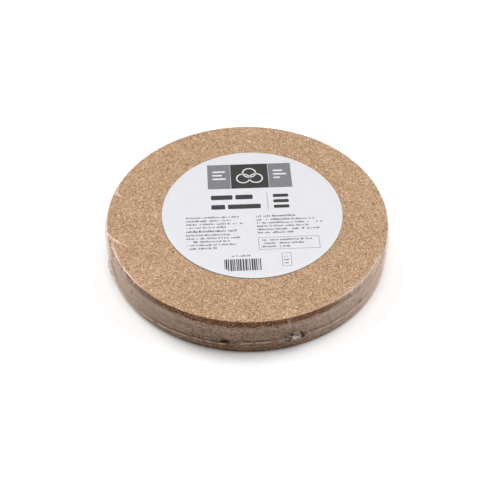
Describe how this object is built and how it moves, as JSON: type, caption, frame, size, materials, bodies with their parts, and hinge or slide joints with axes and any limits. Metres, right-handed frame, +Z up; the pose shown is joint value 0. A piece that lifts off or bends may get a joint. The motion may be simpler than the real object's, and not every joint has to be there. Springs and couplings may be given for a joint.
{
  "type": "cork trivet set",
  "caption": "Flat round cork trivets in a stack, with a round card label on top, shrink-wrapped in clear film with a welded edge and bunched corners.",
  "frame": {"origin": "middle of the underside, on the surface that the pack stands on", "axes": "+Z up through the stack; the picture is taken from the -Y side, with +X to its right"},
  "size_m": [0.1992, 0.1992, 0.0304],
  "materials": {
    "cork": "matte",
    "card": "satin",
    "film": "gloss",
    "film_weld": "gloss"
  },
  "bodies": {
    "lower_wrap": {"film_lower": "film", "seal_bead": "film_weld", "corner_gathers": "film_weld"},
    "bottom_trivet": {"trivet_bottom": "cork"},
    "middle_trivet": {"trivet_middle": "cork"},
    "top_trivet": {"trivet_top": "cork"},
    "label": {"label_card": "card"},
    "upper_wrap": {"film_upper": "film"}
  },
  "joints": [
    {"name": "bottom_trivet_lift", "type": "slide", "parent": "lower_wrap", "child": "bottom_trivet", "axis": [0, 0, 1], "range_m": [0, 0.04]},
    {"name": "middle_trivet_lift", "type": "slide", "parent": "bottom_trivet", "child": "middle_trivet", "axis": [0, 0, 1], "range_m": [0, 0.04]},
    {"name": "top_trivet_lift", "type": "slide", "parent": "middle_trivet", "child": "top_trivet", "axis": [0, 0, 1], "range_m": [0, 0.04]},
    {"name": "label_lift", "type": "slide", "parent": "top_trivet", "child": "label", "axis": [0, 0, 1], "range_m": [0, 0.025]},
    {"name": "upper_wrap_lift", "type": "slide", "parent": "label", "child": "upper_wrap", "axis": [0, 0, 1], "range_m": [0, 0.045]}
  ]
}
